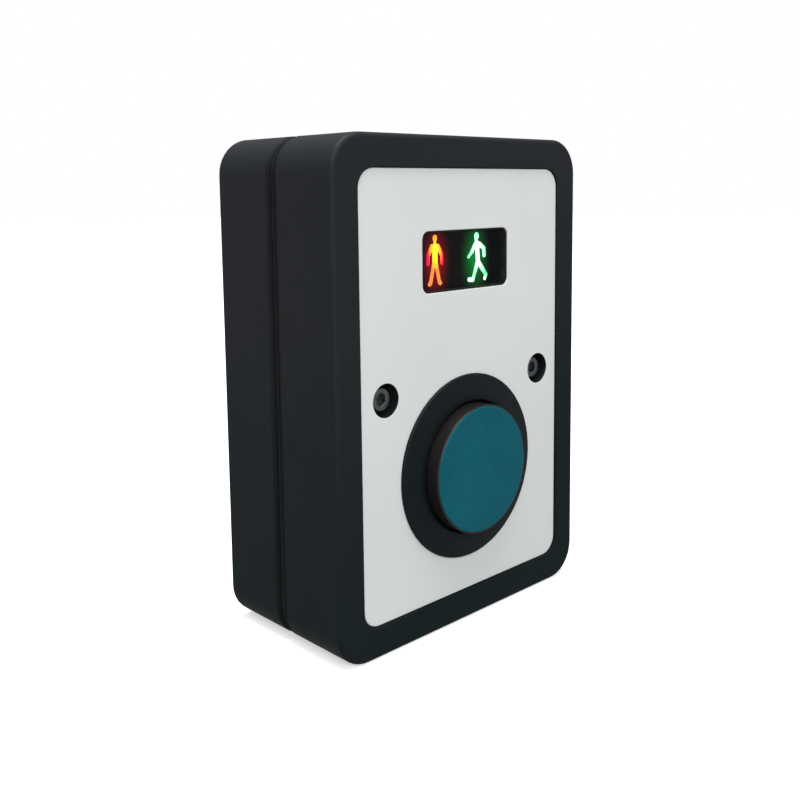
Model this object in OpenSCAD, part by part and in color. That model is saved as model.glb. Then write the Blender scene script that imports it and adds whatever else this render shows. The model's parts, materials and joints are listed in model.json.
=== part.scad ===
// Pedestrian push button in a two-part wall box, with a lit red and green figure display.
// The origin is the centre of the wall face. +Z is up, +X is right, and the front faces -Y.
// Distances called f are measured forwards from the wall, so a point at f lies at y = -f.

/* [Case] */
// Width of the case
case_w = 128; // [124:1:150]
// Height of the case
case_h = 180; // [176:1:210]
// Depth from the wall to the front rim
case_d = 64; // [62:1:70]
// Corner radius seen from the front
corner_r = 13; // [12:1:18]
// Thickness of the side and front walls
wall = 3.5; // [3:0.25:4]
// Thickness of the wall that lies against the mounting surface
back_wall = 4; // [4:0.25:4.5]
// Distance from the wall face to the middle of the seam
seam_f = 31.5; // [30:0.5:33]
// Thickness of the gasket in the seam
gasket_t = 1.2; // [0.8:0.1:1.6]

/* [Face plate] */
// Width of the metal face plate
plate_w = 105; // [100:1:106]
// Height of the metal face plate
plate_h = 157; // [150:1:160]
// Corner radius of the face plate
plate_r = 7; // [4:1:10]
// Thickness of the face plate
plate_t = 2; // [1.5:0.25:2.5]
// How far the plate lies below the front rim
plate_sink = 0.8; // [0.4:0.1:1.2]

/* [Display] */
// Width of the window in the plate
window_w = 45.6; // [42:0.2:48]
// Height of the window in the plate
window_h = 21.8; // [21:0.2:24]
// Corner radius of the window
window_r = 3; // [1:0.5:4]
// Height of the window's centre above the middle of the case
window_z = 45.7; // [44:0.1:50]
// Distance from the middle of the window to each figure
figure_x = 11.5; // [10:0.5:12]
// Height of each figure
figure_h = 20; // [17:0.5:21]

/* [Button] */
// Height of the button's axis above the middle of the case
button_z = -31; // [-32:1:-28]
// Outer radius of the bezel's flange
flange_r = 34.5; // [32:0.5:35]
// Radius of the barrel behind the flange
barrel_r = 27; // [26.5:0.5:28]
// Radius of the plunger
plunger_r = 23.8; // [22:0.2:23.8]
// Radius of the coloured cap
cap_r = 23.3; // [21:0.1:23.5]
// How far the button's face stands in front of the rim
button_proud = 7; // [6.5:0.5:9]
// How far the button travels
travel = 4; // [3:0.5:4]

/* [Fasteners and mounting] */
// Distance of each cover screw from the middle
screw_x = 41; // [40:0.5:44]
// Radius of the counterbore over each cover screw
counterbore_r = 5.8; // [5.2:0.1:6]
// Sideways distance between the wall bolts
bolt_dx = 84; // [80:1:88]
// Upright distance between the wall bolts
bolt_dz = 140; // [136:1:144]
// Radius of the wall bolt holes
bolt_r = 2.75; // [2.5:0.25:3.25]
// Radius of the cable hole in the grommet
cable_r = 5; // [3:0.5:6]

/* [Hidden] */

// A cut runs this far past the face that it opens
over = 1;
// Gap between pieces that are assembled by hand
ease = 0.2;

// Levels of the case, forwards from the wall
box_front = seam_f - gasket_t / 2;
cover_back = seam_f + gasket_t / 2;
plate_front = case_d - plate_sink;
plate_back = plate_front - plate_t;
cover_inner = plate_back - wall;

// Cover screws, M5 socket heads with a sealing washer under each head
m5_r = 2.5;
m5_head_r = 4.25;
m5_head_h = 5;
m5_key = 4;
screw_sink = 2.5;
seal_t = 1;
shank_l = 35;
head_back = plate_front - screw_sink - m5_head_h;
screw_seat = head_back - seal_t;
boss_r = 7.5;
post_r = 7;
insert_r = 3.7;
insert_l = 12;

// Small screws, M3
m3_r = 1.5;
m3_head_r = 2.75;
m3_head_h = 2.2;
m3_grip = 2.5;

// Cable grommet
grommet_z = -72;
grommet_neck_r = 9;
grommet_flange_r = 11.8;
grommet_step = 1.5;

// Display stack: window pane in the cover, light box behind it
pane_w = 56;
pane_h = 32;
pane_t = 2;
window_seal_t = 0.8;
seal_lip = 0.6;
pane_sink = 0.3;
lightbox_wall = 2;
lightbox_open_w = 50;
lightbox_open_h = 26;
lip_t = 0.8;
mask_t = 1;
board_t = 1.6;
lightbox_front = cover_inner;
mask_front = lightbox_front - lip_t;
display_board_f = 42;
lightbox_back = display_board_f - board_t - 1;
ear_x = 34;
ear_t = 3;
led_size = 3;
led_h = 1;
socket_d = 4;
board_socket_d = 6;

// Button: levels forwards from the wall
flange_t = 2.4;
flange_edge = 1;
bore_r = 24.5;
button_f = case_d + button_proud;
cap_t = 1.5;
cap_seat = button_f - cap_t;
rim_drop = 0.3;
front_wall = 3;
skirt_t = 2.8;
skirt_l = 9.2;
skirt_back = plate_front - skirt_l;
barrel_l = 10.7;
floor_front = cover_inner - barrel_l;
floor_t = 3;
bushing_l = 9;
bushing_back = floor_front - bushing_l;
stem_r = 4;
running_gap = 0.05;
collar_r = 6;
clip_t = 1;
clip_r = 6.5;
clip_groove_r = 3;
stem_tail = 2.5;
stem_end = bushing_back - stem_tail;
seal_wire_r = 0.9;
seal_drop = 1.7;
seal_f = plate_front - seal_drop;

// Return spring between the barrel's floor and the plunger
spring_r = 12;
wire_r = 0.9;
coils = 5;

// Switch behind the stem, and its lever
switch_w = 10.3;
switch_d = 15.9;
switch_l = 27.8;
lever_arm = 20;
lever_l = 22;
lever_w = 4;
lever_t = 0.5;
lever_angle = 11.75;
hinge_r = 0.6;
knuckle_r = 1.2;
pin_arm = 7;
pin_r = 1.2;
lever_clear = 4.9;
hinge_f = stem_end - lever_clear;
hinge_z = button_z - lever_arm;
switch_front = hinge_f - hinge_r;
switch_back = switch_front - switch_d;
switch_z = hinge_z - 6;
switch_hole_z = [switch_z + 2.8, switch_z + 25];
switch_hole_f = switch_back + 2.9;
bracket_t = 1.5;
bracket_foot = 16;
bracket_hole_x = 15;
bracket_hole_z = [hinge_z, hinge_z + 16];

// Control board and what it carries
board_w = 68;
board_h = 64;
board_z = 14;
standoff_r = 3.5;
standoff_l = 8.4;
board_screw_hole = 7;
board_f = back_wall + standoff_l;
board_front = board_f + board_t;
board_hole_x = 30;
board_hole_z = [board_z + 4, board_z + 60];
block_w = 30.4;
block_h = 10;
block_d = 9;
block_z = board_z + 2;
ways = 6;
pitch = 5;

// Leads inside the case: x, f and z of the points that each one passes
lead_r = 1.2;
lead_steps = 4;
display_route = [[-13, 36.4, 45.3], [-13, 33.8, 45.3], [-11.8, 31.7, 46], [-8.6, 30.8, 47.7],
    [-2.5, 30.8, 51.2], [5.3, 31, 55.5], [13.5, 31, 60.2], [19.4, 30.6, 63.4], [22.8, 28.6, 65.2],
    [24, 25.5, 66], [24, 22.8, 66], [24, 20, 66]];
switch_route = [[-3.6, 11.6, -33], [-8, 11.8, -32], [-16, 12.5, -25], [-22, 14, -13], [-22, 16, 2],
    [-16, 18, 10], [-12.5, 18, 13.5], [-12.5, 18, 16]];

// Helpers

// Outline points of a rectangle with rounded corners, centred on the origin
function rounded(w, h, r, steps = 8) = [
    for (q = [0:3]) for (i = [0:steps])
        let (a = 90 * q + 90 * i / steps,
             cx = (q == 0 || q == 3) ? w / 2 - r : r - w / 2,
             cy = q < 2 ? h / 2 - r : r - h / 2)
        [cx + r * cos(a), cy + r * sin(a)]];

// Stands its children up, so that their +Z points forwards from the wall
module forwards() { rotate([90, 0, 0]) children(); }

// Plate with rounded corners from f0 to f1
module slab(w, h, r, f0, f1) {
    forwards() translate([0, 0, f0]) linear_extrude(f1 - f0) polygon(rounded(w, h, r));
}

// Straight block centred on x and z, from f0 to f1
module block(w, h, f0, f1) {
    translate([-w / 2, -f1, -h / 2]) cube([w, f1 - f0, h]);
}

// Round bar along the depth from f0 to f1
module bar(r, f0, f1) {
    forwards() translate([0, 0, f0]) cylinder(r = r, h = f1 - f0, $fn = 64);
}

// Turned shape on the button's axis, from a profile of radius and f
module turned() {
    translate([0, 0, button_z]) forwards() rotate_extrude($fn = 96) children();
}

// Copies its children at both cover screws
module at_cover_screws() { for (s = [-1, 1]) translate([s * screw_x, 0, 0]) children(); }

// Copies its children at the four wall bolts
module at_wall_bolts() {
    for (sx = [-1, 1], sz = [-1, 1]) translate([sx * bolt_dx / 2, 0, sz * bolt_dz / 2]) children();
}

// Copies its children at the four corners of the control board
module at_board_screws() {
    for (s = [-1, 1], z = board_hole_z) translate([s * board_hole_x, 0, z]) children();
}

// Pan-head screw whose head lies in front of f, with a shank of the given length behind it
module small_screw(f, shank) {
    difference() {
        union() {
            bar(m3_head_r, f, f + m3_head_h);
            bar(m3_r, f - shank, f);
        }
        block(3.2, 0.7, f + 1.2, f + m3_head_h + over);
        block(0.7, 3.2, f + 1.2, f + m3_head_h + over);
    }
}

// Point at t between p1 and p2 on a smooth curve through four points
function smooth(p0, p1, p2, p3, t) = 0.5 * (2 * p1 + (p2 - p0) * t
    + (2 * p0 - 5 * p1 + 4 * p2 - p3) * t * t + (3 * p1 - p0 - 3 * p2 + p3) * t * t * t);

// Smooth centre line through the points of a route
function centre_line(route) = let (n = len(route)) concat(
    [for (i = [0:n - 2]) for (k = [0:lead_steps - 1])
        smooth(route[max(i - 1, 0)], route[i], route[i + 1], route[min(i + 2, n - 1)],
               k / lead_steps)],
    [route[n - 1]]);

// Unit vector of v
function unit(v) = v / norm(v);

// Closed tube of the given radius swept along a line of points
module sweep(line, r, sides = 8) {
    n = len(line);
    points = [for (i = [0:n - 1])
        let (along = unit(line[min(i + 1, n - 1)] - line[max(i - 1, 0)]),
             side = unit(cross(along, abs(along[1]) < 0.9 ? [0, 1, 0] : [1, 0, 0])),
             up = cross(side, along))
        for (k = [0:sides - 1]) line[i] + r * (cos(360 * k / sides) * side + sin(360 * k / sides) * up)];
    sides_faces = [for (i = [0:n - 2]) for (k = [0:sides - 1])
        [i * sides + k, i * sides + (k + 1) % sides, (i + 1) * sides + (k + 1) % sides,
         (i + 1) * sides + k]];
    ends = [[for (k = [sides - 1:-1:0]) k], [for (k = [0:sides - 1]) (n - 1) * sides + k]];
    polyhedron(points, concat(sides_faces, ends), convexity = 6);
}

// Case

module back_box() color("#26292b") difference() {
    union() {
        difference() {
            slab(case_w, case_h, corner_r, 0, box_front);
            slab(case_w - 2 * wall, case_h - 2 * wall, corner_r - wall, back_wall, box_front + over);
        }
        at_cover_screws() bar(post_r, back_wall - over, cover_back);
        at_board_screws() bar(standoff_r, back_wall - over, board_f);
    }
    at_cover_screws() bar(insert_r + 0.02, cover_back - insert_l - 2, cover_back + over);
    at_board_screws() bar(m3_r, board_f - board_screw_hole, board_f + over);
    at_wall_bolts() bar(bolt_r, -over, back_wall + over);
    translate([0, 0, grommet_z]) {
        bar(grommet_neck_r, -over, back_wall + over);
        bar(grommet_flange_r + ease, -over, grommet_step);
    }
    for (z = bracket_hole_z) translate([bracket_hole_x, 0, z]) bar(m3_r, 1.2, back_wall + over);
}

module cover_gasket() color("#101112") difference() {
    slab(case_w - 2, case_h - 2, corner_r - 1, box_front, cover_back);
    slab(case_w - 6.4, case_h - 6.4, corner_r - 3.2, box_front - over, cover_back + over);
}

module front_cover() color("#282b2d") difference() {
    union() {
        difference() {
            slab(case_w, case_h, corner_r, cover_back, case_d);
            slab(case_w - 2 * wall, case_h - 2 * wall, corner_r - wall, cover_back - over, cover_inner);
        }
        at_cover_screws() bar(boss_r, cover_back, cover_inner + over);
    }
    slab(plate_w + 2 * ease, plate_h + 2 * ease, plate_r + ease, plate_back, case_d + over);
    at_cover_screws() {
        bar(counterbore_r, screw_seat, case_d);
        bar(m5_r + 0.25, cover_back - over, case_d);
    }
    translate([0, 0, window_z]) {
        block(pane_w + 0.6, pane_h + 0.6, cover_inner + 0.7, case_d);
        block(lightbox_open_w, lightbox_open_h, cover_inner - over, case_d);
        for (s = [-1, 1]) translate([s * ear_x, 0, 0]) bar(m3_r, cover_inner - over, cover_inner + 2.8);
    }
    translate([0, 0, button_z]) bar(barrel_r + 0.3, cover_inner - over, case_d);
}

module face_plate() color("#d2d6d4") difference() {
    slab(plate_w, plate_h, plate_r, plate_back, plate_front);
    translate([0, 0, window_z]) slab(window_w, window_h, window_r, plate_back - over, plate_front + over);
    translate([0, 0, button_z]) bar(barrel_r + 0.3, plate_back - over, plate_front + over);
    at_cover_screws() bar(counterbore_r, plate_back - over, plate_front + over);
}

module cover_screws() color("#4a4d50") at_cover_screws() difference() {
    union() {
        bar(m5_head_r, head_back, head_back + m5_head_h);
        bar(m5_r, head_back - shank_l, head_back);
    }
    forwards() translate([0, 0, head_back + m5_head_h - 2.5])
        cylinder(r = m5_key / sqrt(3), h = 2.5 + over, $fn = 6);
}

module screw_seals() color("#17181a") at_cover_screws() difference() {
    bar(m5_head_r + 0.6, screw_seat, head_back);
    bar(m5_r + 0.05, screw_seat - over, head_back + over);
}

module threaded_inserts() color("#b8923f") at_cover_screws() difference() {
    bar(insert_r, cover_back - insert_l, cover_back - 0.4);
    bar(m5_r + 0.05, cover_back - insert_l - over, cover_back + over);
}

module cable_grommet() color("#1a1b1c") translate([0, 0, grommet_z]) difference() {
    union() {
        bar(grommet_flange_r, 0.1, grommet_step - 0.02);
        bar(grommet_neck_r - 0.02, 0.1, back_wall + 1);
        bar(grommet_flange_r, back_wall, back_wall + 1.8);
    }
    bar(cable_r, 0, back_wall + 1.8 + over);
}

// Display

// Slab with the outline of the window, drawn in all round by a margin
module window_slab(margin, f0, f1) {
    slab(window_w - 2 * margin, window_h - 2 * margin, window_r - margin, f0, f1);
}

// Flat seal on the pane's edge, with a lip that lines the window in the plate
module window_seal() color("#141516") translate([0, 0, window_z]) difference() {
    union() {
        block(pane_w, pane_h, plate_back - window_seal_t, plate_back);
        window_slab(ease / 2, plate_back - window_seal_t, plate_front - pane_sink);
    }
    window_slab(ease / 2 + seal_lip, plate_back - window_seal_t - over, plate_front + over);
}

// Pane with a raised middle that fills the lip of its seal
module display_window() color("#3a4450") translate([0, 0, window_z]) {
    block(pane_w, pane_h, plate_back - window_seal_t - pane_t, plate_back - window_seal_t);
    window_slab(ease + seal_lip, plate_back - window_seal_t - over, plate_front - pane_sink);
}

// Outline of a standing figure, feet at the bottom and head at the top
module standing_outline(h) {
    translate([0, 0.43 * h]) circle(r = 0.068 * h, $fn = 24);
    translate([-0.11 * h, -0.03 * h]) square([0.22 * h, 0.38 * h]);
    translate([-0.21 * h, -0.06 * h]) square([0.075 * h, 0.38 * h]);
    translate([0.135 * h, -0.06 * h]) square([0.075 * h, 0.38 * h]);
    translate([-0.21 * h, 0.25 * h]) square([0.42 * h, 0.09 * h]);
    translate([-0.105 * h, -0.5 * h]) square([0.09 * h, 0.5 * h]);
    translate([0.015 * h, -0.5 * h]) square([0.09 * h, 0.5 * h]);
}

// Outline of a figure that walks to the left
module walking_outline(h) {
    translate([-0.03 * h, 0.43 * h]) circle(r = 0.068 * h, $fn = 24);
    polygon([[-0.10, 0.33], [0.09, 0.33], [0.09, -0.04], [-0.08, -0.04]] * h);
    polygon([[-0.08, 0.33], [-0.14, 0.30], [-0.30, 0.06], [-0.24, 0.02], [-0.06, 0.20]] * h);
    polygon([[0.06, 0.33], [0.16, 0.28], [0.27, 0.06], [0.20, 0.03], [0.06, 0.20]] * h);
    polygon([[-0.08, 0.04], [0.04, 0.00], [-0.14, -0.24], [-0.27, -0.50], [-0.36, -0.46],
        [-0.22, -0.20]] * h);
    polygon([[0.00, 0.02], [0.09, 0.02], [0.13, -0.22], [0.30, -0.44], [0.22, -0.50], [0.04, -0.24]] * h);
}

// Red figure's outline on the left and green figure's on the right, as solids from f0 to f1
module red_shape(f0, f1) {
    translate([-figure_x, 0, window_z]) forwards() translate([0, 0, f0])
        linear_extrude(f1 - f0) standing_outline(figure_h);
}
module green_shape(f0, f1) {
    translate([figure_x, 0, window_z]) forwards() translate([0, 0, f0])
        linear_extrude(f1 - f0) walking_outline(figure_h);
}

module display_mask() color("#0c0d0e") difference() {
    translate([0, 0, window_z]) block(pane_w - 0.4, pane_h - 0.4, mask_front - mask_t, mask_front);
    red_shape(mask_front - mask_t - over, mask_front + over);
    green_shape(mask_front - mask_t - over, mask_front + over);
}

module red_figure() color("#e8402a") red_shape(mask_front - mask_t, mask_front);

module green_figure() color("#5fe08a") green_shape(mask_front - mask_t, mask_front);

module display_case() color("#151617") translate([0, 0, window_z]) difference() {
    union() {
        difference() {
            block(pane_w + 2 * lightbox_wall, pane_h + 2 * lightbox_wall, lightbox_back, lightbox_front);
            block(pane_w, pane_h, lightbox_back - over, mask_front);
        }
        block(1.5, pane_h + 1, display_board_f, mask_front - mask_t);
        for (s = [-1, 1]) translate([s * (ear_x - 0.5), 0, 0])
            block(8, 10, lightbox_front - ear_t, lightbox_front);
    }
    block(lightbox_open_w, lightbox_open_h, mask_front - 0.01, lightbox_front + over);
    for (s = [-1, 1]) translate([s * ear_x, 0, 0])
        bar(m3_r + 0.1, lightbox_front - ear_t - over, lightbox_front + over);
}

module display_board() color("#1f5b3a") translate([0, 0, window_z])
    block(pane_w - 0.4, pane_h - 0.4, display_board_f - board_t, display_board_f);

// Six surface-mounted lamps in two columns, centred on x
module led_group(x) {
    for (i = [-1, 1], k = [-1:1]) translate([x + 2.5 * i, 0, window_z + 6 * k])
        block(led_size, led_size, display_board_f, display_board_f + led_h);
}

module red_leds() color("#ff5a3c") led_group(-figure_x);

module green_leds() color("#57ff9a") led_group(figure_x);

module display_screws() color("#8b8f92") for (s = [-1, 1])
    translate([s * ear_x, ear_t - lightbox_front, window_z]) mirror([0, 1, 0])
        small_screw(0, ear_t + m3_grip);

module display_socket() color("#e6e2d6") translate([-13, 0, window_z])
    block(10, 5, display_board_f - board_t - socket_d, display_board_f - board_t);

// Button

module button_bezel() color("#1c2022") turned() difference() {
    polygon([[bore_r, plate_front + flange_t], [barrel_r, plate_front + flange_t],
        [flange_r, plate_front + flange_edge], [flange_r, plate_front],
        [barrel_r + 4, plate_front], [barrel_r + 4, plate_front + 0.8],
        [barrel_r + 0.6, plate_front + 0.8], [barrel_r + 0.6, plate_front],
        [barrel_r, plate_front], [barrel_r, floor_front - floor_t],
        [stem_r + 3, floor_front - floor_t], [stem_r + 3, bushing_back],
        [stem_r + running_gap, bushing_back], [stem_r + running_gap, floor_front],
        [bore_r, floor_front]]);
}

module bezel_gasket() color("#0f1011") turned()
    translate([barrel_r + 0.6, plate_front]) square([3.4, 0.8]);

module bezel_locknut() color("#2a2d2f") difference() {
    turned() translate([barrel_r + 0.1, cover_inner - 5]) square([5.4, 5]);
    translate([0, 0, button_z]) for (i = [0:5]) rotate([0, 60 * i, 0])
        translate([barrel_r + 3, -cover_inner - over, -2.5]) cube([4, 5 + 2 * over, 5]);
}

module plunger() color("#202426") turned() polygon([[0, cap_seat], [cap_r + 0.05, cap_seat],
    [cap_r + 0.05, button_f - rim_drop], [plunger_r, button_f - rim_drop],
    [plunger_r, seal_f + 1], [plunger_r - 1.2, seal_f + 1],
    [plunger_r - 1.2, seal_f - 1], [plunger_r, seal_f - 1],
    [plunger_r, skirt_back], [plunger_r - skirt_t, skirt_back],
    [plunger_r - skirt_t, cap_seat - front_wall], [collar_r, cap_seat - front_wall],
    [collar_r, floor_front + travel + 0.1], [stem_r, floor_front + travel + 0.1],
    [stem_r, bushing_back - 0.1], [clip_groove_r, bushing_back - 0.1],
    [clip_groove_r, bushing_back - 0.1 - clip_t], [stem_r - 0.5, bushing_back - 0.1 - clip_t],
    [stem_r - 0.5, stem_end + 0.8], [1.2, stem_end], [0, stem_end]]);

module button_cap() color("#16586a") turned() polygon([[0, cap_seat], [cap_r, cap_seat],
    [cap_r, button_f - 0.4], [cap_r - 0.4, button_f], [0, button_f]]);

module plunger_seal() color("#0e0f10") turned()
    translate([plunger_r - 1.2 + seal_wire_r, seal_f]) circle(r = seal_wire_r, $fn = 32);

module retaining_clip() color("#9a9ea1") difference() {
    turned() translate([clip_groove_r, bushing_back - 0.1 - clip_t])
        square([clip_r - clip_groove_r, clip_t]);
    translate([-1.5, -bushing_back, button_z]) cube([3, clip_t + over, clip_r + over]);
}

module return_spring() color("#a8acaf") {
    rest_l = cap_seat - front_wall - floor_front - 2 * wire_r - 0.1;
    line = [for (i = [0:18 * coils]) let (a = 20 * i)
        [spring_r * cos(a), -(floor_front + wire_r + 0.05 + rest_l * i / (18 * coils)),
         button_z + spring_r * sin(a)]];
    sweep(line, wire_r);
}

// Switch

module switch_body() color("#1b1c1e") difference() {
    union() {
        translate([-switch_w / 2, -switch_front, switch_z]) cube([switch_w, switch_d, switch_l]);
        for (s = [-1, 1]) translate([s * 4 - 0.5, -hinge_f - 1.4, hinge_z - 1.6]) cube([1, 3, 3.2]);
    }
    translate([-3.5, -hinge_f, hinge_z]) rotate([0, 90, 0]) cylinder(r = 1.6, h = 7, $fn = 48);
    translate([-5.5, -hinge_f, hinge_z]) rotate([0, 90, 0]) cylinder(r = hinge_r, h = 11, $fn = 32);
    translate([0, 0, hinge_z + pin_arm]) bar(pin_r + running_gap, switch_front - 7, switch_front + over);
    for (z = switch_hole_z) translate([-switch_w, -switch_hole_f, z]) rotate([0, 90, 0])
        cylinder(r = m3_r, h = 2 * switch_w, $fn = 48);
}

module switch_terminals() color("#c9a24a") for (k = [0:2])
    translate([-2.4, -switch_back, switch_z + 4 + 10 * k - 0.4]) cube([4.8, 5, 0.8]);

module switch_pin() color("#b03a2e") translate([0, 0, hinge_z + pin_arm])
    bar(pin_r, switch_front - 5, hinge_f + 1);

module switch_lever() color("#b9bdc0") translate([0, -hinge_f, hinge_z]) rotate([lever_angle, 0, 0])
    difference() {
        union() {
            translate([-lever_w / 2, -lever_t / 2, 0]) cube([lever_w, lever_t, lever_l]);
            translate([-3.2, 0, 0]) rotate([0, 90, 0]) cylinder(r = knuckle_r, h = 6.4, $fn = 48);
        }
        translate([-4, 0, 0]) rotate([0, 90, 0]) cylinder(r = hinge_r + running_gap, h = 8, $fn = 48);
    }

module lever_pin() color("#d0d3d5") translate([-4.5, -hinge_f, hinge_z]) rotate([0, 90, 0])
    cylinder(r = hinge_r, h = 9, $fn = 32);

module switch_bracket() color("#a3a7aa") difference() {
    union() {
        translate([switch_w / 2, 2 - switch_front, switch_z])
            cube([bracket_t, switch_front - 2 - back_wall, switch_l]);
        translate([switch_w / 2, -back_wall - bracket_t, switch_z]) cube([bracket_foot, bracket_t, switch_l]);
    }
    for (z = bracket_hole_z) translate([bracket_hole_x, 0, z]) bar(m3_r + 0.1, 0, 10);
    for (z = switch_hole_z) translate([0, -switch_hole_f, z]) rotate([0, 90, 0])
        cylinder(r = m3_r, h = 10, $fn = 48);
}

module switch_screws() color("#8b8f92") for (z = switch_hole_z)
    translate([-switch_w / 2, -switch_hole_f, z]) rotate([0, 90, 0]) {
        cylinder(r = m3_r, h = switch_w + bracket_t + 3, $fn = 48);
        translate([0, 0, -m3_head_h]) cylinder(r = m3_head_r, h = m3_head_h, $fn = 48);
    }

module switch_nuts() color("#8b8f92") for (z = switch_hole_z)
    translate([switch_w / 2 + bracket_t, -switch_hole_f, z]) rotate([0, 90, 0]) difference() {
        cylinder(r = 3.1, h = 2.4, $fn = 6);
        translate([0, 0, -over]) cylinder(r = m3_r + 0.02, h = 2.4 + 2 * over, $fn = 48);
    }

module bracket_screws() color("#8b8f92") for (z = bracket_hole_z)
    translate([bracket_hole_x, 0, z]) small_screw(back_wall + bracket_t, bracket_t + m3_grip);

// Electronics

module control_board() color("#1d5a39") difference() {
    translate([0, 0, board_z + board_h / 2]) block(board_w, board_h, board_f, board_front);
    at_board_screws() bar(m3_r + 0.1, board_f - over, board_front + over);
}

module board_screws() color("#8b8f92") at_board_screws() small_screw(board_front, board_t + 6);

module terminal_block() color("#2f6f8f") difference() {
    translate([0, 0, block_z + block_d / 2]) block(block_w, block_d, board_front, board_front + block_h);
    for (i = [0:ways - 1]) translate([pitch * (i - (ways - 1) / 2), 0, 0]) {
        translate([0, 0, block_z + 5.5]) bar(1.7, board_front + 4, board_front + block_h + over);
        translate([0, -board_front - 4, block_z - over]) cylinder(r = 1.25, h = 4, $fn = 32);
    }
}

module terminal_screws() color("#c9a24a") for (i = [0:ways - 1])
    translate([pitch * (i - (ways - 1) / 2), 0, block_z + 5.5]) difference() {
        bar(1.6, board_front + 4.1, board_front + block_h - 1.5);
        block(2.6, 0.5, board_front + block_h - 2.3, board_front + block_h);
    }

module power_relay() color("#17232e") translate([-16, 0, board_z + 42])
    block(19, 15.5, board_front, board_front + 15);

module capacitors() color("#22325c") for (x = [4, 17]) translate([x, 0, board_z + 30])
    bar(5, board_front, board_front + 12);

module control_chip() color("#121314") translate([-14, 0, board_z + 22]) {
    block(9, 9, board_front + 0.2, board_front + 1.8);
    for (s = [-1, 1], k = [-3:3]) translate([s * 5, 0, 1.2 * k])
        block(1.2, 0.5, board_front, board_front + 0.8);
}

module board_socket() color("#e6e2d6") translate([24, 0, 66])
    block(10, 6, board_front, board_front + board_socket_d);

// A lead along its route, with x, f and z turned into x, y and z
module lead(route) { sweep([for (p = centre_line(route)) [p[0], -p[1], p[2]]], lead_r); }

module display_lead() color("#33383c") lead(display_route);

module switch_lead() color("#7c2b26") lead(switch_route);

back_box();
cover_gasket();
front_cover();
face_plate();
cover_screws();
screw_seals();
threaded_inserts();
cable_grommet();
window_seal();
display_window();
display_mask();
red_figure();
green_figure();
display_case();
display_board();
red_leds();
green_leds();
display_screws();
display_socket();
button_bezel();
bezel_gasket();
bezel_locknut();
plunger();
button_cap();
plunger_seal();
retaining_clip();
return_spring();
switch_body();
switch_terminals();
switch_pin();
switch_lever();
lever_pin();
switch_bracket();
switch_screws();
switch_nuts();
bracket_screws();
control_board();
board_screws();
terminal_block();
terminal_screws();
power_relay();
capacitors();
control_chip();
board_socket();
display_lead();
switch_lead();
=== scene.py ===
# %% [markdown]
# # A pedestrian push button, piece by piece
# The box is a back half and a front cover with a gasket between them. A pale metal plate lies in the
# cover, and carries a display window, two sunk screws and a large round button. This lesson builds the
# visible pieces around a fixed frame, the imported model, and gives every piece its finish.
# All lengths are in metres. The wall face is at y = 0 and the front faces -y.

import json
import math

import bmesh
import bpy
from mathutils import Matrix, Vector


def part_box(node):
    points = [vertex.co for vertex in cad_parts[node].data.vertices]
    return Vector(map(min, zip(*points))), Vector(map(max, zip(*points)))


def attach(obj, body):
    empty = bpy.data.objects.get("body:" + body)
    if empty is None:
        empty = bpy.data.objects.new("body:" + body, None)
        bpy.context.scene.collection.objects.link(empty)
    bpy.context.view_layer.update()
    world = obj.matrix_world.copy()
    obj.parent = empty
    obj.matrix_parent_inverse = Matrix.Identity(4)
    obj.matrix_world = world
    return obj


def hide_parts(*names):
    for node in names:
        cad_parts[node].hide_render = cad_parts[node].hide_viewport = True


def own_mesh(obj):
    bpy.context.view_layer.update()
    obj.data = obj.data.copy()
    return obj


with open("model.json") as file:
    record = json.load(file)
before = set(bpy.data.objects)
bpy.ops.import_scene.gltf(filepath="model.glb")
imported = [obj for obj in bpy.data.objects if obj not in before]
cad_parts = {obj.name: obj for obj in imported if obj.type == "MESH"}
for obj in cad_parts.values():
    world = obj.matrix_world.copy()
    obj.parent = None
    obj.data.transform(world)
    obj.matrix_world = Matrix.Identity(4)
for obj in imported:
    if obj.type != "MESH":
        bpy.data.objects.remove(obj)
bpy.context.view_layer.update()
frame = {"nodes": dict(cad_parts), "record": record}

# %% [markdown]
# ## The sizes that drive everything
# Each size is read from a node's box, so a change in the frame carries over. A depth is counted forwards
# from the wall and called f, so a point at f lies at y = -f. Only the small radii that a box can't tell
# are given here.

# %% Sizes
MM = 0.001


def size_of(node):
    """Width, depth range and height of a node, with its middle in x and z."""
    low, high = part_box(node)
    return {"w": high.x - low.x, "h": high.z - low.z, "f0": -high.y, "f1": -low.y,
            "x": (low.x + high.x) / 2, "z": (low.z + high.z) / 2}


box, cover, plate = size_of("back_box"), size_of("front_cover"), size_of("face_plate")
gasket, pane, mask = size_of("cover_gasket"), size_of("display_window"), size_of("display_mask")
screw, washer = size_of("cover_screws"), size_of("screw_seals")
bezel, plunger, cap = size_of("button_bezel"), size_of("plunger"), size_of("button_cap")
locknut, insert, grommet = size_of("bezel_locknut"), size_of("threaded_inserts"), size_of("cable_grommet")
board, bracket_screw = size_of("control_board"), size_of("bracket_screws")
board_screw, seal, spring = size_of("board_screws"), size_of("window_seal"), size_of("return_spring")
red, green = size_of("red_figure"), size_of("green_figure")

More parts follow.
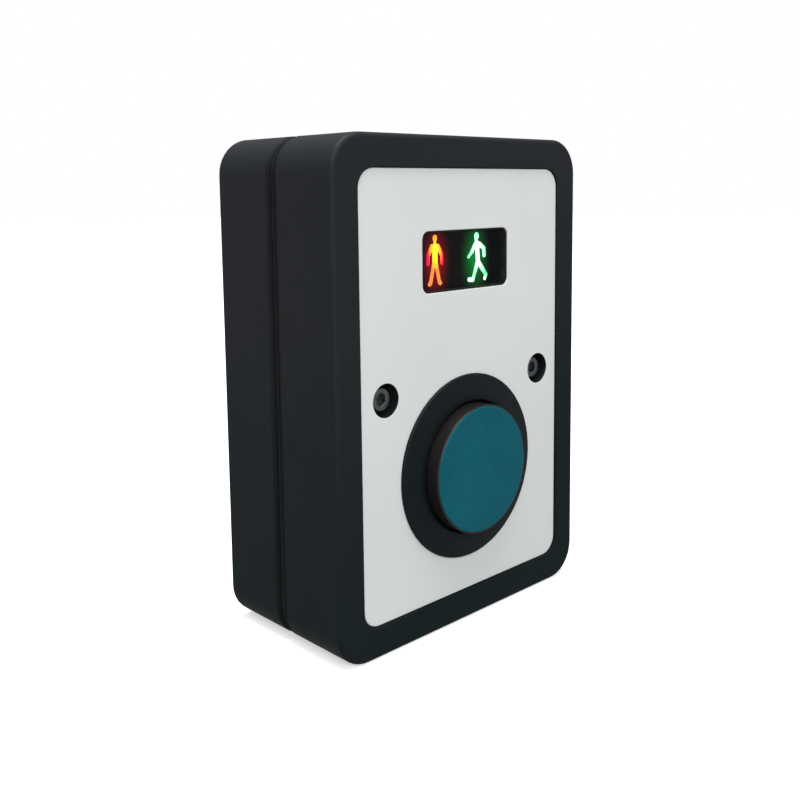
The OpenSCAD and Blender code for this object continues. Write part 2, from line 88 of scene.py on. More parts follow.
BODY_OF = {node: body for body, nodes in frame["record"]["behaviour"]["bodies"].items() for node in nodes}
SIDES = (-1, 1)
FOUR = [(sx, sz) for sx in SIDES for sz in SIDES]
WALL = 3.5 * MM
CORNER = 13 * MM
PLATE_CORNER = 7 * MM
HEAD_R = 4.25 * MM
HOLE_R = 5.8 * MM
SHANK_R = 2.5 * MM
BARREL_R = 27 * MM
BORE_R = 24.5 * MM
STEM_R = 4 * MM
BARREL_GAP = 0.3 * MM
SMALL_SCREW_R = 2.75 * MM
SMALL_PILOT_R = 1.5 * MM
WINDOW_W, WINDOW_H, WINDOW_R = 45.6 * MM, 21.8 * MM, 3 * MM
LIP_T = 0.6 * MM
EASE = 0.2 * MM
SAME_POINT = 0.002 * MM
screw_x = screw["w"] / 2 - HEAD_R
seam = (gasket["f0"], gasket["f1"])
cover_inner = locknut["f1"]
button_x, button_z = bezel["x"], bezel["z"]


def put_in_scene(name, data=None):
    """A new object in the scene."""
    made = bpy.data.objects.new(name, data)
    bpy.context.scene.collection.objects.link(made)
    return made


print(f"case {cover['w']:.3f} x {cover['h']:.3f} x {cover['f1']:.3f}, screws at x = {screw_x:.4f}")

# %% [markdown]
# ## The camera
# The camera stands to the left of the box and a little above it, close enough for strong perspective.
# Its place is worked out from a point on the front face, a direction and a distance, because those three
# are easy to read and to change. The small vertical shift is like a view camera's rising front.

# %% Camera
camera_data = bpy.data.cameras.new("camera")
camera = put_in_scene("camera", camera_data)
bpy.context.scene.camera = camera

azimuth, elevation, roll = map(math.radians, (-43.61, 6.64, -0.68))
aim = Vector((-34.71 * MM, -cover["f1"], 33.74 * MM))
distance = 322.89 * MM
backwards = Vector((math.sin(azimuth) * math.cos(elevation), -math.cos(azimuth) * math.cos(elevation),
                    math.sin(elevation)))
camera.matrix_world = (Matrix.Translation(aim + backwards * distance)
                       @ (-backwards).to_track_quat("-Z", "Y").to_matrix().to_4x4()
                       @ Matrix.Rotation(roll, 4, "Z"))
camera_data.sensor_width = 36
camera_data.lens = 42.83
camera_data.shift_y = -0.1241
camera_data.clip_start = 0.01
print("camera at", [round(v, 3) for v in camera.matrix_world.translation])

# %% [markdown]
# ## Shader sums as plain Python
# A finish is a small network of nodes. Adding Math nodes by hand is slow to write and hard to read, so
# a wrapped socket overloads the usual operators, and `1 - mask` adds the node that it means. Every
# other node comes from one method.

# %% Tools for finishes
class Wire:
    """A node's output. Sums on it add Math nodes to its finish."""

    def __init__(self, finish, socket):
        self.finish, self.socket = finish, socket

    def math(self, operation, *values):
        return self.finish.node("ShaderNodeMath", {"operation": operation}, values)

    def __add__(self, other):
        return self.math("ADD", self, other)

    def __radd__(self, other):
        return self.math("ADD", other, self)

    def __sub__(self, other):
        return self.math("SUBTRACT", self, other)

    def __rsub__(self, other):
        return self.math("SUBTRACT", other, self)

    def __mul__(self, other):
        return self.math("MULTIPLY", self, other)

    def __rmul__(self, other):
        return self.math("MULTIPLY", other, self)

    def __pow__(self, other):
        return self.math("POWER", self, other)


class Finish:
    """A material with one Principled shader, whose fixed values are set on its own sockets."""

    def __init__(self, name, **fixed):
        self.material = bpy.data.materials.new(name + "_finish")
        self.material.use_nodes = True
        self.tree = self.material.node_tree
        self.shader = self.tree.nodes["Principled BSDF"]
        for socket, value in fixed.items():
            self.shader.inputs[socket.replace("_", " ")].default_value = value

    def node(self, kind, settings=None, inputs=(), out=0):
        """Adds a node, first its settings and then its sockets, and returns one of its outputs."""
        made = self.tree.nodes.new(kind)
        for key, value in (settings or {}).items():
            setattr(made, key, value)
        for key, value in (inputs.items() if isinstance(inputs, dict) else enumerate(inputs)):
            if isinstance(value, Wire):
                self.tree.links.new(value.socket, made.inputs[key])
            else:
                made.inputs[key].default_value = value
        return Wire(self, made.outputs[out])

    def feed(self, **links):
        """Links wires to the shader's sockets."""
        for socket, wire in links.items():
            self.tree.links.new(wire.socket, self.shader.inputs[socket.replace("_", " ")])

    def place(self):
        return self.node("ShaderNodeTexCoord", out="Object")

    def vector(self, operation, *values, out=0):
        return self.node("ShaderNodeVectorMath", {"operation": operation}, values, out)

    def part(self, axis, vector=None):
        """One axis of a vector, or of the object coordinates."""
        return self.node("ShaderNodeSeparateXYZ", None, [vector or self.place()], axis)

    def stretched(self, scale):
        """Object coordinates with each axis multiplied."""
        return self.vector("MULTIPLY", self.place(), scale)

    def reach(self, offset, scale=(1, 0, 1)):
        """Length of an offset with each axis multiplied. As it stands, it leaves the depth out."""
        return self.vector("LENGTH", self.vector("MULTIPLY", offset, scale), out="Value")

    def noise(self, scale, detail=3.0, rough=0.5, at=None):
        return self.node("ShaderNodeTexNoise", None,
                         {"Vector": at or self.place(), "Scale": scale, "Detail": detail, "Roughness": rough})

    def spread(self, wire, low, high, out_low=0.0, out_high=1.0):
        """Stretches low to high over out_low to out_high, and stops there."""
        limits = {"From Min": low, "From Max": high, "To Min": out_low, "To Max": out_high}
        return self.node("ShaderNodeMapRange", {"clamp": True}, {"Value": wire, **limits})

    def blend(self, factor, first, second):
        return self.node("ShaderNodeMix", {"data_type": "RGBA"}, {0: factor, 6: first, 7: second}, out=2)

    def bump(self, height, depth, strength=1.0):
        self.feed(Normal=self.node("ShaderNodeBump", None,
                                   {"Height": height, "Distance": depth, "Strength": strength}))


def rgb(red_part, green_part, blue_part):
    """A colour written as a screen shows it, from 0 to 255, in the linear values that shaders use."""
    parts = [v / 255 for v in (red_part, green_part, blue_part)]
    return (*[v / 12.92 if v < 0.04045 else ((v + 0.055) / 1.055) ** 2.4 for v in parts], 1.0)


BLACK, WHITE = rgb(0, 0, 0), rgb(255, 255, 255)
FINISHES = {}
print("finish tools ready")

# %% [markdown]
# ## Moulded case plastic
# The case is charcoal plastic from a spark-eroded mould, so it has a fine matt grain, and handling
# leaves slightly smoother patches. The grain is a small bump, the patches only change the roughness,
# and the colour drifts a little so that a large face isn't dead flat. The colour also carries painted
# light, lighter towards the upper left, and painted shade in the valley at the seam, so both follow the
# coordinates.

# %% Case plastic
def moulded_plastic(name, colour, drift, rough, grain, grain_scale, **fixed):
    """Grained plastic: colour drifts to drift, roughness varies round rough, and grain is its depth."""
    made = Finish(name, **fixed)
    clouds = made.spread(made.noise(28.0, 4.0, 0.6), 0.3, 0.7)
    rubbed = made.spread(made.noise(75.0, 5.0, 0.65), 0.35, 0.75)
    made.feed(Base_Color=made.blend(clouds, colour, drift), Roughness=rough - 0.05 + rubbed * 0.1)
    grains = made.noise(grain_scale, 2.0, 0.6)
    made.bump(grains + made.noise(grain_scale / 6, 2.0, 0.5) * 0.4, grain, 0.5)
    return made.material


def case_with_painted_light():
    """Case plastic with painted light, lighter towards the upper left, and painted shade darkening the valley
    at the seam.
    """
    made = Finish("case_plastic", Specular_IOR_Level=0.15)
    across = made.part("X")
    depth = made.part("Y") * -1.0
    height = made.part("Z")
    clouds = made.noise(28.0, 4.0, 0.6)
    # Painted light: the colour is lighter towards the top and the left, and a darker teal towards the lower
    # right.
    painted_light_falloff = made.spread(height - across * 0.6 + (clouds - 0.5) * 0.06, -0.07, 0.06)
    lit_and_shaded_tone = made.blend(painted_light_falloff, rgb(2, 19, 21), rgb(28, 31, 35))
    rubbed = made.spread(made.noise(75.0, 5.0, 0.65), 0.35, 0.75)
    ragged = (made.noise(300.0, 4.0, 0.65) - 0.5) * 0.0012
    # Painted shade: the valley at the seam is darkened towards near-black rgb(1, 2, 3) and made rougher
    # there.
    seam_shade = made.spread(depth + ragged, seam[0] - 2.4 * MM, seam[0] - 0.2 * MM)
    seam_shade = seam_shade * made.spread(depth + ragged, seam[1] + 1.8 * MM, seam[1] + 3.6 * MM, 1.0, 0.0)
    made.feed(Base_Color=made.blend(seam_shade * 0.92, lit_and_shaded_tone, rgb(1, 2, 3)),
              Roughness=0.55 + rubbed * 0.1 + seam_shade * 0.2)
    grains = made.noise(1500.0, 2.0, 0.6)
    made.bump(grains + made.noise(250.0, 2.0, 0.5) * 0.4, 0.00006, 0.5)
    return made.material


FINISHES["case_plastic"] = case_with_painted_light()
PLASTICS = {
    "bezel_plastic": (rgb(9, 17, 20), rgb(12, 20, 24), 0.5, 0.00003, 2600.0, {"Specular_IOR_Level": 0.14}),
    "display_black": (rgb(9, 10, 11), rgb(13, 14, 15), 0.6, 0.00003, 1500.0, {"Specular_IOR_Level": 0.3}),
    "switch_plastic": (rgb(26, 26, 28), rgb(34, 34, 36), 0.5, 0.00003, 1500.0, {}),
    "chip_plastic": (rgb(22, 22, 23), rgb(30, 30, 31), 0.65, 0.00002, 4000.0, {}),
    "connector_nylon": (rgb(224, 219, 204), rgb(208, 200, 180), 0.45, 0.00002, 1500.0,
                        {"Subsurface_Weight": 0.1}),
    "terminal_blue": (rgb(38, 92, 126), rgb(30, 80, 112), 0.45, 0.00002, 1500.0, {}),
    "relay_plastic": (rgb(24, 36, 52), rgb(18, 30, 44), 0.25, 0.00001, 1500.0, {"Coat_Weight": 0.3}),
}
for name, (*values, fixed) in PLASTICS.items():
    FINISHES[name] = moulded_plastic(name, *values, **fixed)
print("plastics:", *PLASTICS)

# %% [markdown]
# ## Face plate
# The plate is aluminium with a satin pale-grey coat. A sprayed coat has very shallow waves, known as
# orange peel, and a fine sparkle of pigment. Both are far too small to model, so they are a bump and a
# faint change in roughness. The walls of the two screw holes are painted near-black as painted shade,
# so they are picked out by their distance from the holes' axes.

# %% Plate coat
def plate_coat():
    made = Finish("plate_metal", Specular_IOR_Level=0.45)
    drift = made.spread(made.noise(14.0, 3.0, 0.5), 0.3, 0.7)
    speck = made.spread(made.noise(3200.0, 1.0, 0.5), 0.35, 0.65)
    tone = made.blend(drift, rgb(205, 209, 207), rgb(211, 214, 212))
    coat = made.blend(speck * 0.12, tone, rgb(188, 193, 192))
    mirrored = made.vector("ABSOLUTE", made.place())
    from_hole = made.reach(made.vector("SUBTRACT", mirrored, (screw_x, 0, 0)))
    # Painted shade: the walls of the two screw holes are painted near-black.
    hole_wall_shade = made.spread(from_hole, HOLE_R + 0.1 * MM, HOLE_R + 0.2 * MM, 1.0, 0.0)
    made.feed(Base_Color=made.blend(hole_wall_shade, coat, rgb(16, 20, 21)), Roughness=0.42 + speck * 0.08)
    made.bump(made.noise(420.0, 3.0, 0.5) + speck * 0.2, 0.00004, 0.4)
    return made.material


FINISHES["plate_metal"] = plate_coat()

# %% [markdown]
# ## Steel, brass and spring wire
# Turned and drawn metal shows fine lines along the cut. Stretching the noise along one axis gives
# those lines, and the roughness follows them, which makes the highlights streak as on real steel.

# %% Metals
def worked_metal(name, colour, stain, rough, along=1):
    """Metal with a dull film in patches. Below 1, along draws its lines out in depth."""
    made = Finish(name, Metallic=1.0)
    lines = made.spread(made.noise(700.0, 4.0, 0.6, at=made.stretched((1, along, 1))), 0.3, 0.7)
    film = made.spread(made.noise(160.0, 4.0, 0.6), 0.42, 0.72)
    made.feed(Base_Color=made.blend(film * 0.8, colour, stain),
              Roughness=rough - 0.06 + lines * 0.12 + film * 0.12)
    made.bump(lines, 0.00002, 0.35)
    return made.material


METALS = {
    "screw_steel": (rgb(118, 121, 123), rgb(52, 54, 56), 0.34, 0.1),
    "bright_steel": (rgb(196, 199, 202), rgb(150, 152, 150), 0.3, 0.2),
    "spring_steel": (rgb(186, 188, 190), rgb(120, 118, 112), 0.28),
    "brass": (rgb(206, 168, 92), rgb(150, 112, 60), 0.3, 0.2),
}
for name, values in METALS.items():
    FINISHES[name] = worked_metal(name, *values)
print("metals:", *METALS)

# %% [markdown]
# ## Rubber, sleeves and boards
# Rubber is dull, with a dusty bloom. The coloured sleeves are the same with other numbers.

# %% Rubber and leads
def rubber(name, colour, bloom, rough):
    made = Finish(name, Specular_IOR_Level=0.3)
    dust = made.spread(made.noise(220.0, 5.0, 0.7), 0.4, 0.8)
    made.feed(Base_Color=made.blend(dust * 0.6, colour, bloom), Roughness=rough + dust * 0.12)
    made.bump(made.noise(900.0, 3.0, 0.6), 0.00004, 0.4)
    return made.material


RUBBERS = {
    "seal_rubber": (rgb(14, 14, 15), rgb(34, 34, 35), 0.7),
    "lead_grey": (rgb(56, 60, 64), rgb(74, 78, 82), 0.5),
    "lead_red": (rgb(120, 34, 30), rgb(140, 58, 50), 0.5),
    "capacitor_sleeve": (rgb(30, 44, 92), rgb(40, 54, 104), 0.3),
    "switch_pin_red": (rgb(150, 38, 28), rgb(160, 52, 40), 0.3),
}
for name, values in RUBBERS.items():
    FINISHES[name] = rubber(name, *values)

# %% [markdown]
# A circuit board is green lacquer over copper, so its tracks show as slightly lighter, raised lines. A
# brick pattern with long thin bricks stands for the tracks, and dots stand for the pads.

# %% Circuit board lacquer
def board_lacquer():
    made = Finish("board_green", Coat_Weight=0.4, Coat_Roughness=0.15)
    flat = made.node("ShaderNodeMapping", None, {"Vector": made.place(), "Rotation": (math.pi / 2, 0, 0)})
    bricks = {"Vector": flat, "Color1": BLACK, "Color2": BLACK, "Mortar": WHITE, "Scale": 260.0,
              "Mortar Size": 0.035, "Brick Width": 3.1, "Row Height": 0.42}
    tracks = made.node("ShaderNodeTexBrick", {"offset": 0.37, "squash": 1.0}, bricks, "Fac")
    pads = made.node("ShaderNodeTexVoronoi", {"feature": "F1"}, {"Vector": made.place(), "Scale": 310.0})
    holes = made.spread(pads, 0.1, 0.16, 1.0, 0.0)
    lacquer = made.blend(tracks * 0.7, rgb(20, 78, 50), rgb(46, 120, 74))
    made.feed(Base_Color=made.blend(holes, lacquer, rgb(188, 176, 128)), Roughness=0.32 + holes * 0.1)
    made.bump(tracks + holes, 0.00003, 0.5)
    return made.material


FINISHES["board_green"] = board_lacquer()
print("finishes so far:", len(FINISHES))

# %% [markdown]
# ## Button cap, plunger and window
# The cap is teal plastic, faced on a lathe, so very faint rings run round its middle. The distance from
# the button's axis drives a sine, which gives even rings. The plunger is turned acetal, a little
# glossier than the bezel. The window is a smoked pane. Partial alpha gives the tint without bending the
# view of the figures behind it, and any viewer of the exported mesh can show it.

# %% Cap, plunger and glass
def rings_round_button(made, pitch):
    """Fine rings about the button's axis, from 0 to 1."""
    centred = made.vector("SUBTRACT", made.place(), (button_x, 0, button_z))
    turns = made.reach(centred) * (2 * math.pi / pitch)
    return turns.math("SINE", turns) * 0.5 + 0.5


def cap_plastic():
    made = Finish("cap_teal", Specular_IOR_Level=0.12)
    drift = made.spread(made.noise(40.0, 4.0, 0.6), 0.3, 0.7)
    scuffs = made.spread(made.noise(260.0, 6.0, 0.75), 0.52, 0.8)
    colour = made.blend(drift, rgb(0, 77, 90), rgb(4, 85, 99))
    made.feed(Base_Color=made.blend(scuffs * 0.25, colour, rgb(36, 108, 120)),
              Roughness=0.4 + scuffs * 0.15 + drift * 0.05)
    made.bump(rings_round_button(made, 0.0005) + made.noise(1400.0, 2.0) * 0.5, 0.000008, 0.5)
    return made.material


def plunger_plastic():
    made = Finish("plunger_plastic", Specular_IOR_Level=0.5)
    drift = made.spread(made.noise(60.0, 4.0, 0.6), 0.3, 0.7)
    lines = made.noise(500.0, 3.0, 0.6, at=made.stretched((0.05, 4.0, 0.05)))
    made.feed(Base_Color=made.blend(drift, rgb(22, 20, 20), rgb(30, 27, 26)), Roughness=0.26 + lines * 0.12)
    made.bump(lines, 0.00002, 0.3)
    return made.material


def pane_plastic():
    """Smoked pane: a thin black tint that lets two thirds of the light through."""
    made = Finish("window_glass", Roughness=0.05, Specular_IOR_Level=0.35)
    haze = made.spread(made.noise(90.0, 5.0, 0.7), 0.45, 0.8)
    made.feed(Base_Color=made.blend(haze, rgb(5, 8, 9), rgb(14, 18, 19)), Alpha=0.3 + haze * 0.04,
              Roughness=0.03 + haze * 0.05)
    return made.material


FINISHES["cap_teal"] = cap_plastic()
FINISHES["plunger_plastic"] = plunger_plastic()
FINISHES["window_glass"] = pane_plastic()
print("button finishes ready")

# %% [markdown]
# ## Mesh tools
# Most of this box is made of loops that follow one another in depth: a rounded rectangle or a circle,
# then the same a little further in, and so on. So one tool makes a loop at a depth, and another bridges
# a row of loops into a skin. A rounded rectangle starts as four corners, whose vertices are bevelled.

# %% Loops
def upright(f, x=0.0, z=0.0):
    """Matrix that stands a flat shape up, facing forwards, at depth f."""
    return Matrix.Translation((x, -f, z)) @ Matrix.Rotation(math.pi / 2, 4, "X")


def circle(bm, radius, f, x=0.0, z=0.0, sides=64):
    made = bmesh.ops.create_circle(bm, segments=sides, radius=radius, matrix=upright(f, x, z))
    return edges_of(made["verts"])


def edges_of(verts):
    """The edges that run between these vertices."""
    chosen = set(verts)
    return [e for e in {e for v in verts for e in v.link_edges} if chosen.issuperset(e.verts)]


def rounded(bm, w, h, r, f, z=0.0, steps=10):
    """Loop of a rounded rectangle. A corner of no radius stays sharp."""
    round_order = ((1, 1), (-1, 1), (-1, -1), (1, -1))
    corners = [bm.verts.new((sx * w / 2, sz * h / 2, 0)) for sx, sz in round_order]
    face = bm.faces.new(corners)
    if r > 0:
        made = bmesh.ops.bevel(bm, geom=corners, offset=r, offset_type="OFFSET", segments=steps,
                               profile=0.5, affect="VERTICES", material=-1)
        face = next(g for g in made["faces"] + bm.faces[:] if g.is_valid and len(g.verts) == 4 * (steps + 1))
    verts = list(face.verts)
    bmesh.ops.delete(bm, geom=[face], context="FACES_ONLY")
    bmesh.ops.transform(bm, matrix=upright(f, 0, z), verts=verts)
    return edges_of(verts)


def floor(bm, *loops):
    """Flat face between loops: the outermost is its edge, and the others are holes."""
    edges = [e for loop in loops for e in loop]
    bmesh.ops.triangle_fill(bm, use_beauty=True, use_dissolve=False, edges=edges)


def skin(bm, loops):
    """Joins each loop to the next. Two loops at one depth enclose a flat face, and others are bridged."""
    for first, second in zip(loops, loops[1:]):
        if abs(first[0].verts[0].co.y - second[0].verts[0].co.y) < 0.0001 * MM:
            floor(bm, first, second)
        else:
            bmesh.ops.bridge_loops(bm, edges=first + second)
    return loops


def bored(bm, steps, x, z, sides=64, closed=False):
    """Skin through circles about an axis, from pairs (radius, f). Closed, it ends in a flat bottom."""
    loops = skin(bm, [circle(bm, radius, f, x, z, sides) for radius, f in steps])
    if closed:
        floor(bm, loops[-1])
    return loops


def arc(radius, start, end, steps=6):
    """Points of a round edge as pairs (across, along), for angles in degrees."""
    angles = [math.radians(start + (end - start) * i / steps) for i in range(steps + 1)]
    return [(radius * math.cos(a), radius * math.sin(a)) for a in angles]


# %% [markdown]
# A finished mesh needs merged vertices, faces that point outwards, smooth shading with sharp edges kept,
# and a place in the frame. Weighted normals keep large flat faces even right up to a rounded edge.

# %% Finishing a piece
def finish_piece(bm, name, slot, nodes, sharp=40.0, weighted=True):
    """Closes up the mesh, puts it in the scene with its finish, and lets it stand for its nodes."""
    body = BODY_OF[nodes[0]]
    bmesh.ops.remove_doubles(bm, verts=bm.verts[:], dist=SAME_POINT)
    bmesh.ops.recalc_face_normals(bm, faces=bm.faces[:])
    open_edges = sum(1 for e in bm.edges if not e.is_manifold)
    mesh = bpy.data.meshes.new(name)
    bm.to_mesh(mesh)
    bm.free()
    mesh.shade_smooth()
    mesh.set_sharp_from_angle(angle=math.radians(sharp))
    mesh.materials.append(FINISHES[slot])
    piece = put_in_scene(name, mesh)
    if weighted:
        piece.modifiers.new("even_shading", "WEIGHTED_NORMAL").keep_sharp = True
    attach(piece, body)
    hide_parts(*nodes)
    print(f"{name}: {len(mesh.polygons)} faces, {open_edges} open edges")
    return piece


def turned(name, slot, nodes, profile):
    """Piece turned about the button's axis, from a profile of (radius, f). It closes on itself, or runs
    from the axis to the axis."""
    bm = bmesh.new()
    verts = [bm.verts.new((r, -f, 0)) for r, f in profile]
    ring = verts[1:] + (verts[:1] if profile[0][0] > 0 else [])
    edges = [bm.edges.new(pair) for pair in zip(verts, ring)]
    bmesh.ops.spin(bm, geom=verts + edges, cent=(0, 0, 0), axis=(0, 1, 0), angle=2 * math.pi,
                   steps=96, use_merge=True, use_duplicate=False)
    bmesh.ops.translate(bm, verts=bm.verts[:], vec=(button_x, 0, button_z))
    return finish_piece(bm, name, slot, nodes)


# %% [markdown]
# ## Front cover
# The cover is a moulded shell. Its skin starts at the inner ceiling, runs out over the small lip at the
# seam, up the side, over the soft front edge and the flat rim, and down into the pocket where the plate
# lies. Two flat faces with holes close it. Drawing it as one chain of loops keeps the wall closed.

# %% Cover: outline tools
LIP = 1.6 * MM
FRONT_EDGE = 1.8 * MM
POCKET_EASE = 0.2 * MM
POCKET_EDGE = 0.35 * MM


def case_loop(bm, inset, f):
    return rounded(bm, cover["w"] - 2 * inset, cover["h"] - 2 * inset, CORNER - inset, f)


def pocket_loop(bm, outset, f):
    ease = 2 * (POCKET_EASE + outset)
    return rounded(bm, plate["w"] + ease, plate["h"] + ease, PLATE_CORNER + ease / 2, f)


# %% Cover: skin
bm = bmesh.new()
ceiling = case_loop(bm, WALL, cover_inner)
loops = [ceiling, case_loop(bm, WALL, seam[1])]
loops += [case_loop(bm, LIP - a, seam[1] + LIP - b) for a, b in arc(LIP, 90, 0, 3)]
loops += [case_loop(bm, FRONT_EDGE - a, cover["f1"] - FRONT_EDGE + b) for a, b in arc(FRONT_EDGE, 0, 90, 8)]
pocket_f = cover["f1"] - POCKET_EDGE
loops += [pocket_loop(bm, POCKET_EDGE - a, pocket_f + b) for a, b in arc(POCKET_EDGE, 90, 0, 3)]
pocket = pocket_loop(bm, 0, plate["f0"])
skin(bm, loops + [pocket])

# %% Cover: window, button and screw holes
PANE_GAP = 0.3 * MM
OPENING_W, OPENING_H, TIGHT_R = 50 * MM, 26 * MM, 0.4 * MM
BOSS_R = 7.5 * MM
CLEAR_R = SHANK_R + 0.25 * MM
PILOT_X, PILOT_DEPTH = 34 * MM, 2.8 * MM


def display_loop(bm, w, h, f):
    """Rectangle round the display's middle, with tight corners."""
    return rounded(bm, w, h, TIGHT_R, f, pane["z"], 3)


seat_w, seat_h = pane["w"] + 2 * PANE_GAP, pane["h"] + 2 * PANE_GAP
window_pocket, window_seat = [display_loop(bm, seat_w, seat_h, f) for f in (plate["f0"], pane["f0"])]
opening = [display_loop(bm, OPENING_W, OPENING_H, f) for f in (pane["f0"], cover_inner)]
skin(bm, [window_pocket, window_seat])
floor(bm, window_seat, opening[0])
skin(bm, opening)

steps = [(BARREL_R + BARREL_GAP, f) for f in (plate["f0"], cover_inner)]
button_hole = bored(bm, steps, button_x, button_z, 96)

tops, feet = [], []
for side in SIDES:
    steps = [(HOLE_R, plate["f0"]), (HOLE_R, washer["f0"]), (CLEAR_R, washer["f0"]), (CLEAR_R, seam[1]),
             (BOSS_R, seam[1]), (BOSS_R, cover_inner)]
    hole = bored(bm, steps, side * screw_x, 0)
    tops.append(hole[0])
    feet.append(hole[-1])

steps = [(SMALL_PILOT_R, f) for f in (cover_inner, cover_inner + PILOT_DEPTH)]
pilots = [bored(bm, steps, side * PILOT_X, pane["z"], 24, closed=True)[0] for side in SIDES]

floor(bm, pocket, window_pocket, button_hole[0], *tops)
floor(bm, ceiling, opening[1], button_hole[1], *feet, *pilots)
finish_piece(bm, "cover_shell", "case_plastic", ["front_cover"])

# %% [markdown]
# ## Back box
# The back half is a tray with a soft lip at the seam, a little rounder than the cover's. Between them
# the seam reads as a shaded valley. Posts for the cover screws stand on the tray's floor, and the bolt
# holes and the counterbore for the cable grommet go through it. The posts and holes are all the same
# thing to a modeller, a row of circles, so one tool makes them.

# %% Back box: skin
BACK_EDGE = 1.5 * MM
BOX_LIP = 2.4 * MM
RIM_EDGE = 0.3 * MM
BACK_WALL = 4 * MM

bm = bmesh.new()
tray = case_loop(bm, WALL, BACK_WALL)
loops = [tray, case_loop(bm, WALL, seam[0] - RIM_EDGE), case_loop(bm, WALL - RIM_EDGE, seam[0])]
loops += [case_loop(bm, BOX_LIP - a, seam[0] - BOX_LIP + b) for a, b in arc(BOX_LIP, 90, 0, 6)]
loops += [case_loop(bm, BACK_EDGE - a, BACK_EDGE - b) for a, b in arc(BACK_EDGE, 0, 90, 5)]
skin(bm, loops)
back = loops[-1]

# %% Back box: holes and posts
BOLT_X, BOLT_Z, BOLT_R, BOLT_EDGE = 42 * MM, 70 * MM, 2.75 * MM, 0.4 * MM
COUNTERBORE_R, COUNTERBORE_DEPTH, CABLE_HOLE_R = 12 * MM, 1.5 * MM, 9 * MM
POST_R, STANDOFF_R = 7 * MM, 3.5 * MM
INSERT_ROOM, STANDOFF_PILOT, PILOT_FLOOR = 2 * MM, 7 * MM, 1.2 * MM

bolt = [(BOLT_R + BOLT_EDGE, 0), (BOLT_R, BOLT_EDGE), (BOLT_R, BACK_WALL)]
holes = [bored(bm, bolt, sx * BOLT_X, sz * BOLT_Z, 40) for sx, sz in FOUR]
entry = [(COUNTERBORE_R, 0), (COUNTERBORE_R, COUNTERBORE_DEPTH), (CABLE_HOLE_R, COUNTERBORE_DEPTH),
         (CABLE_HOLE_R, BACK_WALL)]
holes.append(bored(bm, entry, grommet["x"], grommet["z"]))
back_holes = [hole[0] for hole in holes]
tray_holes = [hole[-1] for hole in holes]

insert_r = insert["h"] / 2
post = [(POST_R, BACK_WALL), (POST_R, seam[1]), (insert_r, seam[1]), (insert_r, insert["f0"] - INSERT_ROOM)]
tray_holes += [bored(bm, post, side * screw_x, 0, closed=True)[0] for side in SIDES]

standoff_x = board_screw["w"] / 2 - SMALL_SCREW_R
standoff_z = board_screw["h"] / 2 - SMALL_SCREW_R
standoff = [(STANDOFF_R, BACK_WALL), (STANDOFF_R, board["f0"]), (SMALL_PILOT_R, board["f0"]),
            (SMALL_PILOT_R, board["f0"] - STANDOFF_PILOT)]
for sx, sz in FOUR:
    z = board_screw["z"] + sz * standoff_z
    tray_holes.append(bored(bm, standoff, sx * standoff_x, z, 32, closed=True)[0])

pilot = [(SMALL_PILOT_R, BACK_WALL), (SMALL_PILOT_R, PILOT_FLOOR)]
for side in SIDES:
    z = bracket_screw["z"] + side * (bracket_screw["h"] / 2 - SMALL_SCREW_R)
    tray_holes.append(bored(bm, pilot, bracket_screw["x"], z, 24, closed=True)[0])

floor(bm, back, *back_holes)
floor(bm, tray, *tray_holes)
finish_piece(bm, "box_shell", "case_plastic", ["back_box"])

# %% [markdown]
# ## Face plate
# A flat plate with a tiny round edge. The edge matters more than its size suggests, because it catches
# a thin bright line all round, as a machined edge does.

# %% Plate
EDGE = 0.35 * MM
bm = bmesh.new()


def plate_loops(bm, make):
    """A round front edge and a straight wall, from make(inset, f)."""
    loops = [make(EDGE - a, plate["f1"] - EDGE + b) for a, b in arc(EDGE, 90, 0, 4)]
    return skin(bm, loops + [make(0, plate["f0"])])


def window_loop(bm, inset, f):
    """Outline of the plate's window, drawn in by inset."""
    return rounded(bm, WINDOW_W - 2 * inset, WINDOW_H - 2 * inset, WINDOW_R - inset, f, pane["z"])


def plate_outline(bm, inset, f):
    return rounded(bm, plate["w"] - 2 * inset, plate["h"] - 2 * inset, PLATE_CORNER - inset, f)


sets = [plate_loops(bm, lambda d, f: plate_outline(bm, d, f))]
sets.append(plate_loops(bm, lambda d, f: window_loop(bm, -d, f)))
sets.append(plate_loops(bm, lambda d, f: circle(bm, BARREL_R + BARREL_GAP + d, f, button_x, button_z, 96)))
for side in SIDES:
    sets.append(plate_loops(bm, lambda d, f: circle(bm, HOLE_R + d, f, side * screw_x, 0)))
floor(bm, *[loops[0] for loops in sets])
floor(bm, *[loops[-1] for loops in sets])
finish_piece(bm, "plate_sheet", "plate_metal", ["face_plate"])

# %% [markdown]
# ## Cover screws
# Socket-head screws, sunk below the plate. The head has a chamfered rim and a hexagon socket with a
# flat bottom. The thread is drawn as close rings, which at this size look the same as a true helix and
# stay a clean closed mesh.

# %% Screws
HEAD_HEIGHT, HEAD_EDGE = 5 * MM, 0.45 * MM
KEY, SOCKET_DEPTH, SOCKET_EDGE = 4 * MM, 2.5 * MM, 0.2 * MM
PLAIN_SHANK, PITCH, THREAD_DEPTH, TIP_EDGE = 8 * MM, 0.8 * MM, 0.35 * MM, 0.5 * MM


